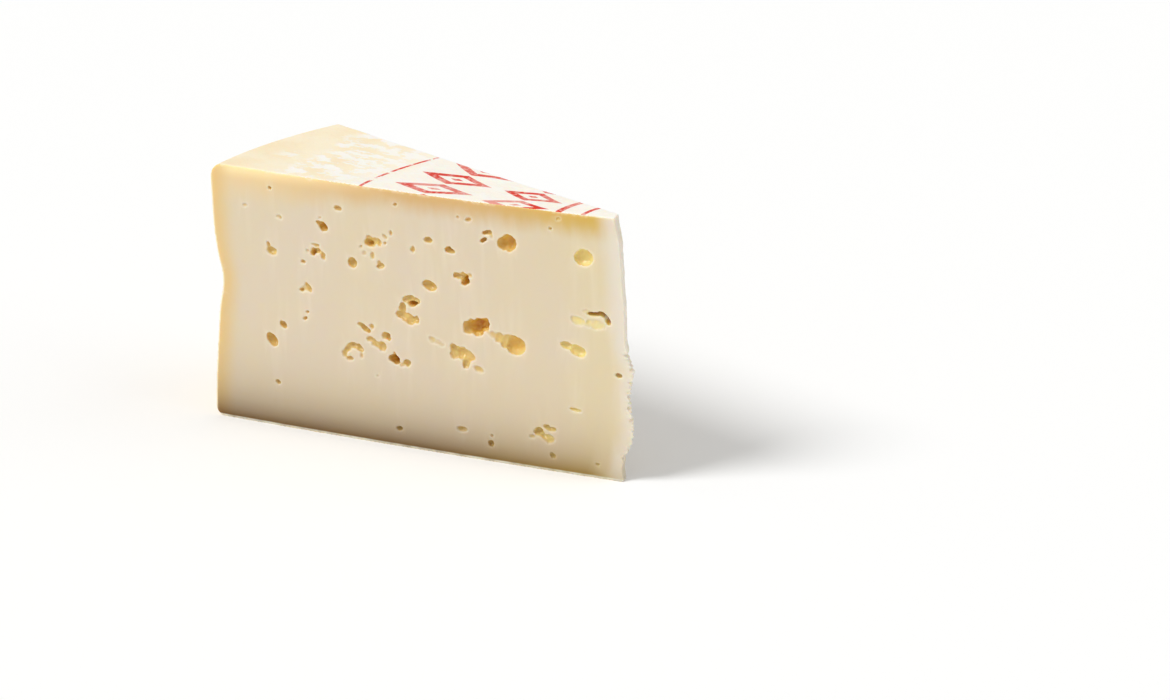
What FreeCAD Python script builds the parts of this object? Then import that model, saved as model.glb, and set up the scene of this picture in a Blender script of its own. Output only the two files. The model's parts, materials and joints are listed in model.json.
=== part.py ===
"""A wedge of semi-hard mountain cheese, cut from a low pressed wheel.

Millimetres, +Z up. The wedge stands on its flat base rind. Its heel, the strip of the
wheel's side, points to -X and its thin nose to +X, and the two knife cuts lie evenly
either side of the XZ plane. The origin is under the middle of the wedge's own box.

While it is being made, the wedge is kept about the wheel's axis: X = Y = 0 is the line
where the two knife cuts would meet. Only the last step moves it to its origin.
"""

import FreeCAD, Part

import math
import os
import random

Vector = FreeCAD.Vector

# ---------------------------------------------------------------------------
# The wheel
# ---------------------------------------------------------------------------
wheel_radius = 158.0        # the wheel's axis to the fullest part of its side
wheel_height = 88.0         # base rind to top rind
top_rim_radius = 5.0        # roundness of the top edge of the side
base_rim_radius = 3.5       # the base edge is pressed tighter
side_lean = 0.4             # the top of the side stands in by this much

hollow_depth = 2.3          # broad hollow that the mould's hoop leaves in the side
hollow_reach = 24.0
hollow_level = 0.49         # share of the height
crease_depth = 1.8          # narrower crease inside the hollow, from the hoop's cord
crease_reach = 7.5
crease_level = 0.55
side_stations = 9           # places at which the side's curve is set out

# ---------------------------------------------------------------------------
# The wedge
# ---------------------------------------------------------------------------
wedge_angle = 22.5          # degrees between the two knife cuts
front_bow = 1.4             # the blade wandered: the front cut bulges by this much
back_bow = 0.7
knife_overshoot = 12.0      # the cutting shapes reach this far past the wheel
knife_stations = 6          # spans in the curve of each cut

# ---------------------------------------------------------------------------
# The nose, where the thin end has broken away
# ---------------------------------------------------------------------------
# How far the break stands back from the line where the cuts would meet, at shares
# of the height: a bitten foot, two bulges, and a long lean to the top.
nose_break = (
    (0.00, 7.6), (0.05, 8.1), (0.09, 7.3), (0.12, 5.4), (0.17, 3.7), (0.22, 3.5),
    (0.28, 4.8), (0.33, 5.1), (0.39, 4.2), (0.42, 3.4), (0.45, 4.7), (0.49, 5.9),
    (0.54, 6.7), (0.64, 6.8), (0.77, 7.8), (0.88, 8.6), (1.00, 10.8),
)
break_skew = 24.0           # degrees: the break runs back towards the heel at the rear
tear_pitch = 1.5            # the paste tore in crumbs about this large
tear_depth = 0.45
tear_from = 0.20            # the torn stretch, in shares of the height
tear_to = 0.46
tear_seed = 5

# ---------------------------------------------------------------------------
# The eyes: holes in the paste that the knife opened
# ---------------------------------------------------------------------------
# Each row is (along, up, width, height, tilt, depth). Along is the share of the wheel's
# radius from the axis, and up the share of its height. Width, height and depth are in
# millimetres, and tilt is in degrees, anticlockwise to someone who faces the cut with
# its base down. Gas blew the round eyes, so their outline is an even oval.
round_eyes = (
    (0.828, 0.405, 3.2, 2.2, -35, 1.8), (0.856, 0.339, 5.4, 3.6, -50, 2.4),
    (0.844, 0.174, 2.2, 1.5, -30, 1.0), (0.691, 0.893, 3.1, 1.6, -10, 1.2),
    (0.660, 0.690, 2.8, 3.8, 12, 2.4), (0.483, 0.822, 3.3, 1.9, 0, 1.5),
    (0.482, 0.645, 5.8, 3.4, -18, 2.8), (0.304, 0.850, 6.2, 6.0, 0, 4.4),
    (0.134, 0.834, 6.6, 5.6, 0, 2.6), (0.285, 0.464, 7.4, 6.4, 0, 4.0),
    (0.318, 0.484, 9.0, 4.4, -32, 1.7), (0.468, 0.431, 6.6, 2.6, -15, 0.9),
    (0.165, 0.494, 5.0, 3.6, -10, 2.0), (0.143, 0.479, 5.0, 3.6, -10, 2.2),
    (0.145, 0.615, 13.0, 6.4, 4, 2.2), (0.152, 0.251, 5.0, 1.1, -5, 1.0),
    (0.409, 0.107, 4.2, 1.9, 0, 0.8), (0.555, 0.070, 2.5, 1.7, 0, 1.2),
)
# The paste cracked open at the torn eyes. Their outline is ragged, and the larger ones
# are a few rows that run into each other.
torn_eyes = (
    (0.855, 0.695, 3.2, 3.8, 20, 2.0), (0.867, 0.722, 1.6, 2.8, 20, 1.0),
    (0.775, 0.562, 4.6, 2.4, -20, 1.6), (0.781, 0.582, 1.9, 3.4, 10, 1.2),
    (0.732, 0.818, 3.8, 2.8, -20, 2.6), (0.750, 0.725, 3.6, 3.2, 0, 2.6),
    (0.738, 0.706, 2.6, 2.2, 0, 1.8), (0.757, 0.698, 1.9, 1.8, 0, 1.2),
    (0.617, 0.786, 5.0, 3.0, 15, 2.6), (0.594, 0.797, 5.2, 2.6, 25, 1.4),
    (0.573, 0.812, 2.6, 1.8, 30, 1.0), (0.596, 0.692, 3.2, 1.9, 0, 1.4),
    (0.517, 0.777, 2.5, 2.0, 0, 1.0), (0.432, 0.793, 4.0, 2.2, 5, 2.0),
    (0.350, 0.876, 4.0, 1.7, 15, 1.8), (0.357, 0.857, 2.4, 2.2, 40, 2.0),
    (0.402, 0.690, 3.8, 3.8, 0, 3.4), (0.418, 0.700, 4.2, 2.2, 10, 1.8),
    (0.524, 0.572, 5.2, 4.0, 20, 3.0), (0.546, 0.545, 4.2, 4.0, 0, 2.6),
    (0.532, 0.514, 6.4, 4.0, -20, 3.4), (0.382, 0.518, 7.4, 5.8, 0, 4.4),
    (0.363, 0.528, 4.6, 3.8, 25, 3.0), (0.416, 0.402, 7.6, 5.4, -15, 2.8),
    (0.400, 0.375, 4.0, 4.6, 0, 2.0), (0.370, 0.351, 3.8, 2.4, -15, 0.8),
    (0.637, 0.440, 4.4, 3.2, -20, 2.2), (0.617, 0.424, 2.6, 2.2, 0, 1.4),
    (0.584, 0.424, 3.6, 2.5, -20, 1.9), (0.608, 0.388, 7.0, 3.6, -25, 1.4),
    (0.675, 0.334, 3.2, 3.8, 0, 2.2), (0.662, 0.356, 4.4, 2.2, 0, 1.8),
    (0.650, 0.334, 2.2, 3.6, 0, 1.6), (0.568, 0.335, 4.2, 3.1, -15, 3.0),
    (0.541, 0.327, 3.2, 2.2, 10, 1.9), (0.227, 0.118, 6.6, 4.2, -10, 1.9),
    (0.214, 0.140, 5.2, 2.6, 30, 1.7), (0.203, 0.059, 2.8, 2.0, 0, 1.2),
    (0.343, 0.068, 2.0, 2.4, 0, 1.2),
)
# Two eyes near the nose were larger than the wedge is thick there. In their rows the
# last value is not a depth but the way they go: degrees of turn towards the nose.
through_eyes = (
    (0.098, 0.628, 6.6, 3.4, -25, 20),
    (0.056, 0.408, 2.6, 1.7, -10, 20),
)
through_reach = 1.5         # they end this many thicknesses of the wedge inside

# The back cut has eyes of the same kinds, scattered by chance.
back_eye_count = 26
back_eye_seed = 11
smallest_eye = 2.0
largest_eye = 7.5
torn_share = 0.5            # of the eyes behind
deepest_back_eye = 0.33     # as a share of the wedge's thickness there
eye_spacing = 2.0           # paste left between two eyes
rind_margin = 4.0           # eyes stay this far inside the rind

# An eye is a bowl of similar rings with flat facets between them. Each ring is (share
# of the mouth, share of the depth), and the first one stands just outside the cut.
eye_rings = ((1.08, -0.25), (0.88, 0.45), (0.62, 0.80), (0.28, 1.0))
raggedness = 0.28           # how far a torn outline strays, as a share of its radius
corners_per_mm = 2.2        # corners of an eye's outline for its width
fewest_corners = 8
most_corners = 16


def bump(distance, reach):
    """A smooth hill, 1 at its middle and almost 0 two reaches away."""
    return math.exp(-((distance / reach) ** 2))


def side_radius(level):
    """How far the wheel's side stands from its axis at a height."""
    share = level / wheel_height
    hollow = hollow_depth * bump(level - hollow_level * wheel_height, hollow_reach)
    crease = crease_depth * bump(level - crease_level * wheel_height, crease_reach)
    return wheel_radius - side_lean * share - hollow - crease


def side_curve():
    """The wheel's side between its two rims, as one smooth curve."""
    low = base_rim_radius
    high = wheel_height - top_rim_radius
    step = (high - low) / (side_stations - 1)
    levels = [low + step * station for station in range(side_stations)]
    curve = Part.BSplineCurve()
    curve.interpolate(
        Points=[Vector(side_radius(level), 0, level) for level in levels],
        InitialTangent=Vector(0, 0, 1),
        FinalTangent=Vector(0, 0, 1),
    )
    return curve


def rim(corner, start, end, radius):
    """A quarter-round rim that blends the side into the base or the top."""
    shift = radius * (1 - math.sqrt(0.5))
    inward = Vector(-shift, 0, shift if corner.z < wheel_height / 2 else -shift)
    return Part.Arc(start, corner + inward, end)


def wheel_section():
    """Half of the wheel's section, from its axis out to its side."""
    side = side_curve()
    foot, head = side.StartPoint, side.EndPoint
    base_corner = Vector(foot.x, 0, 0)
    top_corner = Vector(head.x, 0, wheel_height)
    base_end = base_corner - Vector(base_rim_radius, 0, 0)
    top_end = top_corner - Vector(top_rim_radius, 0, 0)
    axis_foot = Vector(0, 0, 0)
    axis_head = Vector(0, 0, wheel_height)
    edges = [
        Part.LineSegment(axis_foot, base_end),
        rim(base_corner, base_end, foot, base_rim_radius),
        side,
        rim(top_corner, head, top_end, top_rim_radius),
        Part.LineSegment(top_end, axis_head),
        Part.LineSegment(axis_head, axis_foot),
    ]
    return Part.Face(Part.Wire([edge.toShape() for edge in edges]))


def wheel_sector():
    """A slice of the wheel, wider than the wedge, round the heel's direction."""
    spread = wedge_angle * 2
    section = wheel_section()
    section.rotate(Vector(), Vector(0, 0, 1), 180 - spread / 2)
    return section.revolve(Vector(), Vector(0, 0, 1), spread)


def face_directions(side):
    """Along a cut towards the heel, and out of it. Side is -1 in front, 1 behind."""
    half = math.radians(wedge_angle / 2)
    to_heel = Vector(-math.cos(half), side * math.sin(half), 0)
    outward = Vector(math.sin(half), side * math.cos(half), 0)
    return to_heel, outward


def bow_of(side):
    return front_bow if side < 0 else back_bow


def cut_point(side, along, up):
    """A place on a cut face, at shares of the radius and of the height."""
    to_heel, outward = face_directions(side)
    length = wheel_radius + knife_overshoot
    reach = along * wheel_radius
    from_middle = 2 * reach / length - 1
    bulge = bow_of(side) * (1 - from_middle ** 2)
    return to_heel * reach + outward * bulge + Vector(0, 0, up * wheel_height)


def knife_line(side):
    """One cut seen from above: the blade's shallow curve from the axis past the heel."""
    reach = 1 + knife_overshoot / wheel_radius
    stations = [reach * station / knife_stations for station in range(knife_stations + 1)]
    curve = Part.BSplineCurve()
    curve.interpolate(Points=[cut_point(side, along, 0) for along in stations])
    return curve


def between_the_cuts():
    """The upright block that the two cuts leave of the wheel."""
    front, back = knife_line(-1), knife_line(1)
    heel_end = Part.LineSegment(front.EndPoint, back.EndPoint)
    plan = Part.Face(Part.Wire([line.toShape() for line in (front, heel_end, back)]))
    plan.translate(Vector(0, 0, -knife_overshoot))
    return plan.extrude(Vector(0, 0, wheel_height + 2 * knife_overshoot))


def break_setback(share):
    """The break's distance from the axis at a share of the height."""
    for (low, near), (high, far) in zip(nose_break, nose_break[1:]):
        if share <= high:
            t = (share - low) / (high - low)
            ease = t * t * (3 - 2 * t)
            return near + (far - near) * ease
    return nose_break[-1][1]


def break_outline():
    """The break from base to top: crumbs where it tore, a smooth curve elsewhere."""
    chance = random.Random(tear_seed)
    outline = []
    steps = round(wheel_height / tear_pitch)
    for step in range(steps + 1):
        share = step / steps
        setback = break_setback(share)
        if tear_from < share < tear_to:
            setback += tear_depth * chance.uniform(-1, 1)
        outline.append(Vector(-setback, 0, share * wheel_height))
    return outline


def broken_nose():
    """The thin end that broke off, to be taken from the wedge."""
    outline = break_outline()
    below = outline[0] - Vector(0, 0, knife_overshoot)
    above = outline[-1] + Vector(0, 0, knife_overshoot)
    outer_top = Vector(knife_overshoot, 0, above.z)
    outer_foot = Vector(knife_overshoot, 0, below.z)
    ring = [below] + outline + [above, outer_top, outer_foot, below]
    skew = math.tan(math.radians(break_skew))
    across = Vector(-skew, 1, 0) * knife_overshoot
    section = Part.Face(Part.makePolygon(ring))
    section.translate(across * -1)
    return section.extrude(across * 2)


def mouth_outline(size, ragged, chance):
    """An eye's outline as (cosine, sine) pairs, even or strayed by chance."""
    corners = round(min(max(size * corners_per_mm, fewest_corners), most_corners))
    outline = []
    for corner in range(corners):
        angle = 2 * math.pi * corner / corners
        reach = 1 + ragged * chance.uniform(-1, 1)
        outline.append((reach * math.cos(angle), reach * math.sin(angle)))
    return outline


def flat_face(points):
    return Part.Face(Part.makePolygon([*points, points[0]]))


def bowl(middle, wide, tall, inward, outline):
    """The closed shape of an eye, from its rings. The vectors are its half sizes."""
    rings = []
    for share, sink in eye_rings:
        centre = middle + inward * sink
        rings.append([centre + wide * (share * x) + tall * (share * y) for x, y in outline])
    faces = [flat_face(rings[0]), flat_face(rings[-1])]
    for upper, lower in zip(rings, rings[1:]):
        for a in range(len(outline)):
            b = (a + 1) % len(outline)
            faces.append(flat_face([upper[a], upper[b], lower[b], lower[a]]))
    solid = Part.Solid(Part.Shell(faces))
    return solid if solid.Volume > 0 else solid.reversed()


def eye(side, row, ragged=0.0, turn=0.0):
    """One eye in a cut face, as the shape to take away."""
    along, up, width, height, tilt, depth = row
    to_heel, outward = face_directions(side)
    upright = Vector(0, 0, 1)
    lean = math.radians(tilt)
    wide = to_heel * (side * math.cos(lean)) + upright * math.sin(lean)
    tall = outward.cross(wide)
    inward = FreeCAD.Rotation(upright, turn).multVec(outward) * -depth
    chance = random.Random(round(1000 * along) + round(1000 * up))
    outline = mouth_outline(max(width, height), ragged, chance)
    middle = cut_point(side, along, up)
    return bowl(middle, wide * (width / 2), tall * (height / 2), inward, outline)


def wedge_thickness(along):
    """The distance between the two cuts at a share of the radius."""
    front = cut_point(-1, along, 0)
    back = cut_point(1, along, 0)
    return (back - front).Length


def back_eye_rows():
    """Eyes scattered over the back cut, none touching another or the rind."""
    chance = random.Random(back_eye_seed)
    rows = []
    while len(rows) < back_eye_count:
        size = smallest_eye + (largest_eye - smallest_eye) * chance.random() ** 3
        border = size / 2 + rind_margin
        along = chance.uniform(0.16, 1 - border / wheel_radius)
        up = chance.uniform(border / wheel_height, 1 - border / wheel_height)
        here = cut_point(1, along, up)
        height = size * chance.uniform(0.6, 1)
        tilt = chance.uniform(-50, 50)
        deepest = wedge_thickness(along) * deepest_back_eye
        depth = min(size * chance.uniform(0.3, 0.6), deepest)
        clear = all(
            (here - cut_point(1, *other[:2])).Length > (size + other[2]) / 2 + eye_spacing
            for other in rows
        )
        if clear:
            rows.append((along, up, size, height, tilt, depth))
    return rows


def all_eyes():
    eyes = [eye(-1, row) for row in round_eyes]
    eyes += [eye(-1, row, raggedness) for row in torn_eyes]
    for *place, turn in through_eyes:
        depth = wedge_thickness(place[0]) * through_reach
        eyes.append(eye(-1, (*place, depth), turn=turn))
    torn = round(back_eye_count * torn_share)
    for number, row in enumerate(back_eye_rows()):
        eyes.append(eye(1, row, raggedness if number < torn else 0.0))
    return eyes


def cheese_wedge():
    wedge = wheel_sector().common(between_the_cuts())
    wedge = wedge.cut(broken_nose())
    wedge = wedge.cut(all_eyes())
    solid = wedge.Solids[0]
    box = solid.optimalBoundingBox()
    solid.translate(Vector(-box.Center.x, -box.Center.y, -box.ZMin))
    return solid


if __name__ == "__main__":
    os.makedirs("parts", exist_ok=True)
    wedge = cheese_wedge()
    wedge.exportStep("parts/cheese_wedge.step")
    box = wedge.optimalBoundingBox()
    print("wedge", round(box.XLength, 1), round(box.YLength, 1), round(box.ZLength, 1), "mm")
    print("volume", round(wedge.Volume / 1000, 1), "cm3, faces", len(wedge.Faces))
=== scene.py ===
# %% [markdown]
# # A wedge of semi-hard mountain cheese
#
# The real thing is one slice of a low pressed wheel: an ivory paste with eyes in it, inside a
# thin dry rind. This script makes its looks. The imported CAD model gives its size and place,
# so the model is loaded first and measured, and it is never moved.
#
# The surfaces are laid out from the wheel that the wedge was cut from: its radius, its height
# and the angle between the two cuts. Everything else follows from those.

import json
import math
import random
from types import SimpleNamespace

import bmesh
import bpy
import numpy as np
from mathutils import Matrix, Vector, kdtree, noise
from mathutils.bvhtree import BVHTree

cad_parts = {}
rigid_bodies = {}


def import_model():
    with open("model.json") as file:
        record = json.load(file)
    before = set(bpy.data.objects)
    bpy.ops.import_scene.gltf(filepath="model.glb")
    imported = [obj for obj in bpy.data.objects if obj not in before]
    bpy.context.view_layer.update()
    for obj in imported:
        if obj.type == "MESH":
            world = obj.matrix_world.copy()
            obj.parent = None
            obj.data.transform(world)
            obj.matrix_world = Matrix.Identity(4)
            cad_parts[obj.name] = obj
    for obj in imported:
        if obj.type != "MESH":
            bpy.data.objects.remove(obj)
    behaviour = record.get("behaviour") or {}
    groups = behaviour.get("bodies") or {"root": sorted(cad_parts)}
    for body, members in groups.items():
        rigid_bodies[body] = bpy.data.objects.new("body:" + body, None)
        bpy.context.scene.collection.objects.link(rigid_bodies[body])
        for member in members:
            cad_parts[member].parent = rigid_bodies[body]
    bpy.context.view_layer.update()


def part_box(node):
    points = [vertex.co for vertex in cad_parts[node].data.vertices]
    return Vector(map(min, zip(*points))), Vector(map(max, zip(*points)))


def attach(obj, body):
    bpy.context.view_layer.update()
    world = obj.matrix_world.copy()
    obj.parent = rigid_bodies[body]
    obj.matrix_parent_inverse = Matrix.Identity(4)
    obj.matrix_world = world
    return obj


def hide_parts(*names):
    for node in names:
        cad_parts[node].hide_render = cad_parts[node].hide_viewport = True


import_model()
low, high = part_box("cheese_wedge")
mm = 0.001
print("wedge", [round(side / mm, 1) for side in high - low], "mm")

# %% [markdown]
# ## The wheel
#
# A hoop and its cord press the side of a fresh wheel, which leaves a broad hollow with a
# crease inside it. A revolved curve could make the whole side at once, but here only a slice
# is needed, so the side is kept as a formula: one radius for each height. The rims above and
# below it are quarter rounds.

# %% The wheel and its side
wheel_radius = 158.0 * mm
wheel_height = 88.0 * mm
top_rim = 5.0 * mm
base_rim = 3.5 * mm
side_lean = 0.4 * mm
hollow_depth = 2.3 * mm
hollow_reach = 24.0 * mm
hollow_level = 0.49 * wheel_height
crease_depth = 1.8 * mm
crease_reach = 7.5 * mm
crease_level = 0.55 * wheel_height


def side_radius(level):
    """How far the wheel's side stands from its axis at a height."""
    hollow = hollow_depth * np.exp(-(((level - hollow_level) / hollow_reach) ** 2))
    crease = crease_depth * np.exp(-(((level - crease_level) / crease_reach) ** 2))
    return wheel_radius - side_lean * level / wheel_height - hollow - crease


def rim_arc(radius, level, size, start, end, steps):
    """Stations round a rim, as radii and heights."""
    angles = np.radians(np.linspace(start, end, steps))
    return radius - size + size * np.cos(angles), level + size * np.sin(angles)


def side_profile(rim_steps, side_steps):
    """The wheel's side from the base rind up to the top rind."""
    foot, head = base_rim, wheel_height - top_rim
    levels = np.linspace(foot, head, side_steps)
    lower = rim_arc(side_radius(foot), foot, base_rim, -90, 0, rim_steps)
    upper = rim_arc(side_radius(head), head, top_rim, 0, 90, rim_steps)
    radii = np.concatenate([lower[0][:-1], side_radius(levels), upper[0][1:]])
    heights = np.concatenate([lower[1][:-1], levels, upper[1][1:]])
    return radii, heights


levels = base_rim, crease_level, wheel_height - top_rim
print("side's radius:", [round(float(side_radius(level)) / mm, 1) for level in levels], "mm")

# %% [markdown]
# ## The two cuts and the broken nose
#
# The blade wandered a little, so each cut bulges. The thin end broke away, and a short list
# of setbacks gives the outline of that break. A place in the wedge is then three shares: how
# far it is from nose to heel, from the front cut to the back one, and from base to top.

# %% Where a place in the wedge is
wedge_angle = math.radians(22.5)
front_bow = 1.4 * mm
back_bow = 0.7 * mm
knife_reach = wheel_radius + 12.0 * mm
break_skew = math.tan(math.radians(24))
nose_break = np.array((
    (0.00, 7.6), (0.05, 8.1), (0.09, 7.3), (0.12, 5.4), (0.17, 3.7), (0.22, 3.5),
    (0.28, 4.8), (0.33, 5.1), (0.39, 4.2), (0.42, 3.4), (0.45, 4.7), (0.49, 6.2),
    (0.54, 7.2), (0.64, 7.4), (0.77, 8.4), (0.88, 9.1), (1.00, 11.1),
))


def break_setback(share):
    """How far the nose has broken back at a share of the height."""
    shares, setbacks = nose_break.T
    row = np.clip(np.searchsorted(shares, share, side="right") - 1, 0, len(shares) - 2)
    t = (share - shares[row]) / (shares[row + 1] - shares[row])
    eased = t * t * (3 - 2 * t)
    return mm * (setbacks[row] + (setbacks[row + 1] - setbacks[row]) * eased)


def bulge(reach):
    """The bow of a cut, as a share of its most."""
    return 1 - (2 * reach / knife_reach - 1) ** 2


def wheel_place(along, across, radius, height):
    """Shares along and across to x, y and z about the wheel's axis. It takes arrays."""
    angle = wedge_angle * (across - 0.5)
    skew = np.cos(angle) - break_skew * np.sin(angle)
    nose = break_setback(height / wheel_height) / skew
    reach = nose + (radius - nose) * along
    sideways = bulge(reach) * (back_bow * across - front_bow * (1 - across))
    x = sideways * np.sin(angle) - reach * np.cos(angle)
    y = reach * np.sin(angle) + sideways * np.cos(angle)
    return np.stack(np.broadcast_arrays(x, y, height), axis=-1)


def cut_frame(side):
    """Along a cut towards the heel, and out of it. Side is -1 in front and 1 behind."""
    half = wedge_angle / 2
    to_heel = Vector((-math.cos(half), side * math.sin(half), 0))
    outward = Vector((math.sin(half), side * math.cos(half), 0))
    return to_heel, outward


def cut_point(side, along, up):
    """A place on a cut, at shares of the wheel's radius and height."""
    to_heel, outward = cut_frame(side)
    reach = along * wheel_radius
    bow = (front_bow if side < 0 else back_bow) * bulge(reach)
    return to_heel * reach + outward * bow + Vector((0, 0, up * wheel_height))


opening = (cut_point(1, 1, 0) - cut_point(-1, 1, 0)).length
print("the cuts open to", round(opening / mm, 1), "mm at the rim")

# %% [markdown]
# ## The uncut body
#
# A wedge has six sides, like a block, so its skin can be six grids that share their edges.
# A cube could be cut down to the same shape, but on grids every place knows its shares, and
# those steer the relief. The grid is finer at the nose, where the tear needs it.

# %% The grid of the skin
nose_steps, length_steps, across_steps, side_steps, rim_steps = 18, 130, 40, 170, 8
nose_share = 0.05           # the finer part of the grid, as a share of the length


def body_lattice():
    """The numbers of the skin's places on the block, and the shares of each place."""
    near = np.linspace(0, nose_share, nose_steps + 1)[:-1]
    along = np.concatenate([near, np.linspace(nose_share, 1, length_steps + 1)])
    across = np.linspace(0, 1, across_steps + 1)
    radii, heights = side_profile(rim_steps, side_steps)
    count = len(along), len(across), len(heights)
    index = np.indices(count)
    on_skin = np.zeros(count, bool)
    for axis, size in enumerate(count):
        on_skin |= (index[axis] == 0) | (index[axis] == size - 1)
    i, j, k = index[:, on_skin]
    number = np.full(count, -1)
    number[on_skin] = np.arange(len(i))
    return number, along[i], across[j], radii[k], heights[k]


lattice = body_lattice()
print("skin grid:", len(lattice[1]), "places")

# %% [markdown]
# ## The low relief
#
# The top sags a little, the nose is torn, the dry rind is uneven, and a curled edge of it
# stands along the cuts. All this could be sculpted by hand, but one short formula for each
# stays easy to tune. It all goes inwards, because the block has the full size.

# %% Helpers for the relief
def smooth_step(low_end, high_end, value):
    """Goes smoothly from 0 at the low end to 1 at the high end, which may be swapped."""
    t = np.clip((value - low_end) / (high_end - low_end), 0, 1)
    return t * t * (3 - 2 * t)


def noise_at(places, pitch, seed=0.0):
    """Smooth chance from -1 to 1 at each place."""
    shift = Vector((seed, 2 * seed, 3 * seed))
    return np.array([noise.noise(Vector(place) / pitch + shift) for place in places])


print("smooth step at a quarter:", float(smooth_step(0, 1, 0.25)))

# %% The sagging top and the torn nose
sag_depth = 0.7 * mm
sag_layer = 12 * mm         # the sag eases out this far below the top
tear_depth = 2.3 * mm
tear_reach = 3.0 * mm
tear_pitch = 1.4 * mm
tear_from, tear_to = 0.10, 0.50     # shares of the height
tear_ease = 0.03, 0.02
fine_share = 0.4            # of the fine teeth among the coarse ones
whole_share = 0.15          # how rough the nose is where it isn't torn
nick_depth = 1.0 * mm       # sharp nicks between the crumbs of the tear
nick_pitch = 1.8 * mm
nick_drift, drift_pitch = 0.8, 5 * mm


def sag_top(worked, places, reach):
    towards_top = smooth_step(wheel_height - sag_layer, wheel_height, places[:, 2])
    worked[:, 2] -= sag_depth * np.sin(math.pi * reach / wheel_radius) * towards_top


def tear_nose(worked, places, along, radii):
    height = places[:, 2]
    share = height / wheel_height
    torn = smooth_step(tear_from - tear_ease[0], tear_from, share)
    torn = torn * smooth_step(tear_to, tear_to - tear_ease[1], share)
    from_nose = along * (radii - break_setback(share))
    fine_teeth = np.abs(noise_at(places, tear_pitch / 2, 3.0))
    teeth = np.abs(noise_at(places, tear_pitch)) + fine_share * fine_teeth
    turns = height / nick_pitch + nick_drift * noise_at(places, drift_pitch, 5.0)
    nicks = (1 - np.abs(np.sin(math.pi * turns))) ** 2
    roughness = whole_share + (1 - whole_share) * torn
    rough = tear_depth * roughness * teeth + nick_depth * torn * nicks
    worked[:, 0] -= rough * smooth_step(tear_reach, 0, from_nose)


print("nose torn from", tear_from, "to", tear_to, "of the height")

# %% The uneven rind and its curled edges
rind_wobble = 0.22 * mm
wobble_zone = 9 * mm, 4 * mm    # inside the rim, where the wobble starts and is full
wobble_pitch, top_pitch = 11 * mm, 9 * mm
curl_height = 1.3 * mm
curl_depth = 0.35 * mm
curl_pitch = 3.2 * mm
top_curl_share = 0.6
corner_fade = 6 * mm        # wobble and curl fade this near a corner


def wobble_rind(worked, places, reach):
    height = places[:, 2]
    outwards = places[:, :2] / np.maximum(reach, mm)[:, None]
    zone_start, zone_full = wobble_zone
    in_heel = smooth_step(wheel_radius - zone_start, wheel_radius - zone_full, reach)
    wobble = rind_wobble * (0.5 + 0.5 * noise_at(places, wobble_pitch, 4.0)) * in_heel
    from_top = smooth_step(0, corner_fade, wheel_height - height)
    wobble *= smooth_step(0, corner_fade, height) * from_top
    worked[:, :2] -= outwards * wobble[:, None]
    on_top = height > wheel_height - mm / 100
    worked[on_top, 2] -= rind_wobble * (0.5 + 0.5 * noise_at(places[on_top], top_pitch, 6.0))


def curl_edges(worked, places, along, across, radii):
    for side, on_cut in ((-1, across == 0), (1, across == 1)):
        _, outward = cut_frame(side)
        height = places[on_cut, 2]
        wave = 0.5 + 0.5 * noise_at(places[on_cut] * (1, 1, 0.2), curl_pitch, 9.0)
        curl = curl_depth * wave * smooth_step(curl_height, 0, height)
        below_top = smooth_step(curl_height, 0, wheel_height - height)
        edge = top_curl_share * curl_depth * wave * below_top
        middle = smooth_step(0, corner_fade, radii[on_cut] * (1 - along[on_cut]))
        worked[on_cut] += np.outer((curl - edge) * middle, outward)


def worked_relief(places, along, across, radii):
    """The block's places with all four kinds of relief worked in."""
    worked = places.copy()
    reach = np.hypot(places[:, 0], places[:, 1])
    sag_top(worked, places, reach)
    tear_nose(worked, places, along, radii)
    wobble_rind(worked, places, reach)
    curl_edges(worked, places, along, across, radii)
    return worked


print("rind uneven by", rind_wobble / mm, "mm")

# %% Make the body from six grids
def grid_faces(numbers):
    """Quads between the rows and columns of a grid of vertex numbers."""
    corners = numbers[:-1, :-1], numbers[1:, :-1], numbers[1:, 1:], numbers[:-1, 1:]
    return np.stack(corners, axis=-1).reshape(-1, 4)


def mesh_object(name, mesh):
    piece = bpy.data.objects.new(name, mesh)
    bpy.context.scene.collection.objects.link(piece)
    return piece


def vertex_places(piece):
    """The places of a piece's vertices, one in each row."""
    places = np.empty(len(piece.data.vertices) * 3)
    piece.data.vertices.foreach_get("co", places)
    return places.reshape(-1, 3)


def uncut_body():
    """The wedge before it has eyes. Each face knows its region by its material number."""
    number, along, across, radii, heights = lattice
    places = worked_relief(wheel_place(along, across, radii, heights), along, across, radii)
    sheets = (
        number[:, 0], number[:, -1], number[-1], number[:, :, -1], number[:, :, 0], number[0],
    )
    faces = [grid_faces(sheet) for sheet in sheets]
    mesh = bpy.data.meshes.new("uncut")
    mesh.from_pydata(places, [], np.concatenate(faces))
    region = np.repeat(np.arange(len(faces)), [len(part) for part in faces])
    mesh.attributes.new("region", "INT", "FACE").data.foreach_set("value", region)
    shape = bmesh.new()
    shape.from_mesh(mesh)
    bmesh.ops.recalc_face_normals(shape, faces=shape.faces)
    shape.to_mesh(mesh)
    shape.free()
    return mesh_object("uncut", mesh), region


body, region_of = uncut_body()
skin = BVHTree.FromPolygons(
    [vertex.co for vertex in body.data.vertices], [face.vertices for face in body.data.polygons]
)
print("uncut body:", len(body.data.polygons), "quads")

# %% [markdown]
# ## The eyes
#
# Gas blew the round eyes and the paste cracked open at the torn ones. The knife only opened
# them, so each eye is a closed blob that lies half in the paste. Blobs could be modelled one
# by one, but they all follow one rule: a ball, stretched and tilted, whose skin strays by
# chance. Geometry Nodes does that for all of them at once, from one point for each eye.
#
# A row is (along, up, width, height, tilt, depth), as shares of the wheel and then in
# millimetres and degrees. The CAD model has the larger eyes of this list as plain bowls.

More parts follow.
